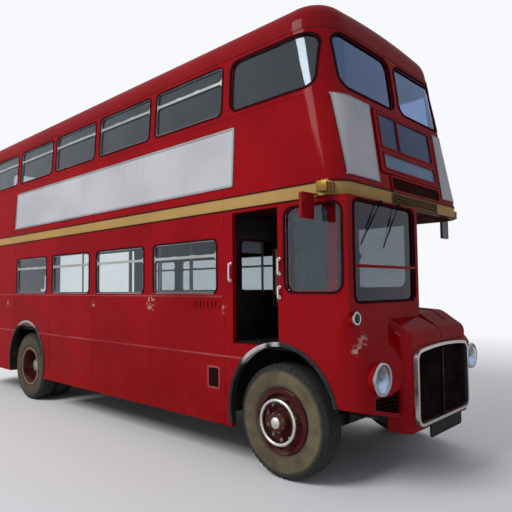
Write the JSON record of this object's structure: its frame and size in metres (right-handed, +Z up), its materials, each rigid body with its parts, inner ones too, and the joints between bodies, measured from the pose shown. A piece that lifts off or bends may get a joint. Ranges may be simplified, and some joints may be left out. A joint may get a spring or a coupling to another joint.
{
  "type": "half-cab double deck bus",
  "caption": "Red half-cab double deck bus with an open rear platform, a cream band between the decks, a steered front axle, twin rear wheels, a sliding cab door and a lifting bonnet.",
  "frame": {"origin": "on the ground, at the middle of the bus's length and width", "axes": "+X forward, +Y to the nearside (the left), +Z up"},
  "size_m": [8.388, 2.878, 4.382],
  "materials": {
    "red_paint": "gloss",
    "cream_paint": "gloss",
    "roof_paint": "gloss",
    "maroon_paint": "satin",
    "pale_panel": "satin",
    "black_paint": "satin",
    "cast_metal": "matt",
    "steel_wheel": "satin",
    "floor_lino": "satin",
    "bright_alloy": "satin",
    "lamp_chrome": "polished",
    "amber_lens": "gloss",
    "glass": "clear",
    "moquette": "woven",
    "tyre": "matt",
    "wheel_rim": "gloss"
  },
  "bodies": {
    "body": {"lower_side_offside": "red_paint", "lower_side_nearside": "red_paint", "lower_rear_panel": "red_paint", "front_bulkhead": "red_paint", "saloon_floor": "floor_lino", "rear_wheel_boxes": "black_paint", "rear_platform": "floor_lino", "between_decks_band": "cream_paint", "upper_floor": "floor_lino", "roof": "roof_paint", "upper_front_wall": "red_paint", "upper_rear_wall": "red_paint", "upper_side_offside": "red_paint", "upper_side_nearside": "red_paint", "destination_box": "maroon_paint", "side_panels": "pale_panel", "cab_offside_wall": "red_paint", "cab_front": "red_paint", "cab_nearside_wall": "red_paint", "cab_floor": "black_paint", "front_wing_offside": "red_paint", "front_wing_nearside": "red_paint", "front_panel": "red_paint", "radiator_grille": "maroon_paint", "grille_surround": "lamp_chrome", "lamps": "lamp_chrome", "direction_ears": "amber_lens", "mirrors": "red_paint", "window_glass": "glass", "window_sashes": "bright_alloy", "seat_frames": "bright_alloy", "seat_cushions": "moquette", "staircase": "maroon_paint", "hand_poles": "bright_alloy", "driver_seat": "moquette", "steering_column": "black_paint", "engine_block": "cast_metal", "radiator": "black_paint", "front_subframe": "black_paint", "rear_axle": "cast_metal", "fuel_tank": "black_paint"},
    "knuckle_nearside": {"steering_knuckle_nearside": "cast_metal"},
    "knuckle_offside": {"steering_knuckle_offside": "cast_metal"},
    "front_wheel_nearside": {"front_wheel_nearside": "steel_wheel", "front_tyre_nearside": "tyre"},
    "front_wheel_offside": {"front_wheel_offside": "steel_wheel", "front_tyre_offside": "tyre"},
    "rear_wheel_nearside": {"rear_wheels_nearside": "steel_wheel", "rear_tyres_nearside": "tyre"},
    "rear_wheel_offside": {"rear_wheels_offside": "steel_wheel", "rear_tyres_offside": "tyre"},
    "steering_wheel": {"steering_wheel": "wheel_rim"},
    "cab_door": {"cab_door": "red_paint", "cab_door_glass": "glass"},
    "bonnet": {"bonnet": "red_paint"}
  },
  "joints": [
    {"name": "steer_nearside", "type": "hinge", "parent": "body", "child": "knuckle_nearside", "pos_m": [3.155, 0.85, 0.51], "axis": [0, 0, 1], "range_deg": [-33, 33]},
    {"name": "steer_offside", "type": "hinge", "parent": "body", "child": "knuckle_offside", "pos_m": [3.155, -0.85, 0.51], "axis": [0, 0, 1], "range_deg": [-33, 33]},
    {"name": "spin_front_nearside", "type": "hinge", "parent": "knuckle_nearside", "child": "front_wheel_nearside", "pos_m": [3.155, 1.01, 0.51], "axis": [0, 1, 0], "continuous": true},
    {"name": "spin_front_offside", "type": "hinge", "parent": "knuckle_offside", "child": "front_wheel_offside", "pos_m": [3.155, -1.01, 0.51], "axis": [0, 1, 0], "continuous": true},
    {"name": "spin_rear_nearside", "type": "hinge", "parent": "body", "child": "rear_wheel_nearside", "pos_m": [-1.976, 0.897, 0.51], "axis": [0, 1, 0], "continuous": true},
    {"name": "spin_rear_offside", "type": "hinge", "parent": "body", "child": "rear_wheel_offside", "pos_m": [-1.976, -0.897, 0.51], "axis": [0, 1, 0], "continuous": true},
    {"name": "steering_wheel_turn", "type": "hinge", "parent": "body", "child": "steering_wheel", "pos_m": [3.38536, -0.56, 1.90192], "axis": [-0.4226, 0, 0.9063], "range_deg": [-594, 594]},
    {"name": "cab_door_slide", "type": "slide", "parent": "body", "child": "cab_door", "axis": [-1, 0, 0], "range_m": [0, 0.58]},
    {"name": "bonnet_lift", "type": "hinge", "parent": "body", "child": "bonnet", "pos_m": [2.585, 0.39, 1.565], "axis": [0, -1, 0], "range_deg": [0, 35]}
  ],
  "couplings": [
    {"joint": "steer_offside", "follows": "steer_nearside", "ratio": 1},
    {"joint": "steering_wheel_turn", "follows": "steer_nearside", "ratio": 18}
  ]
}
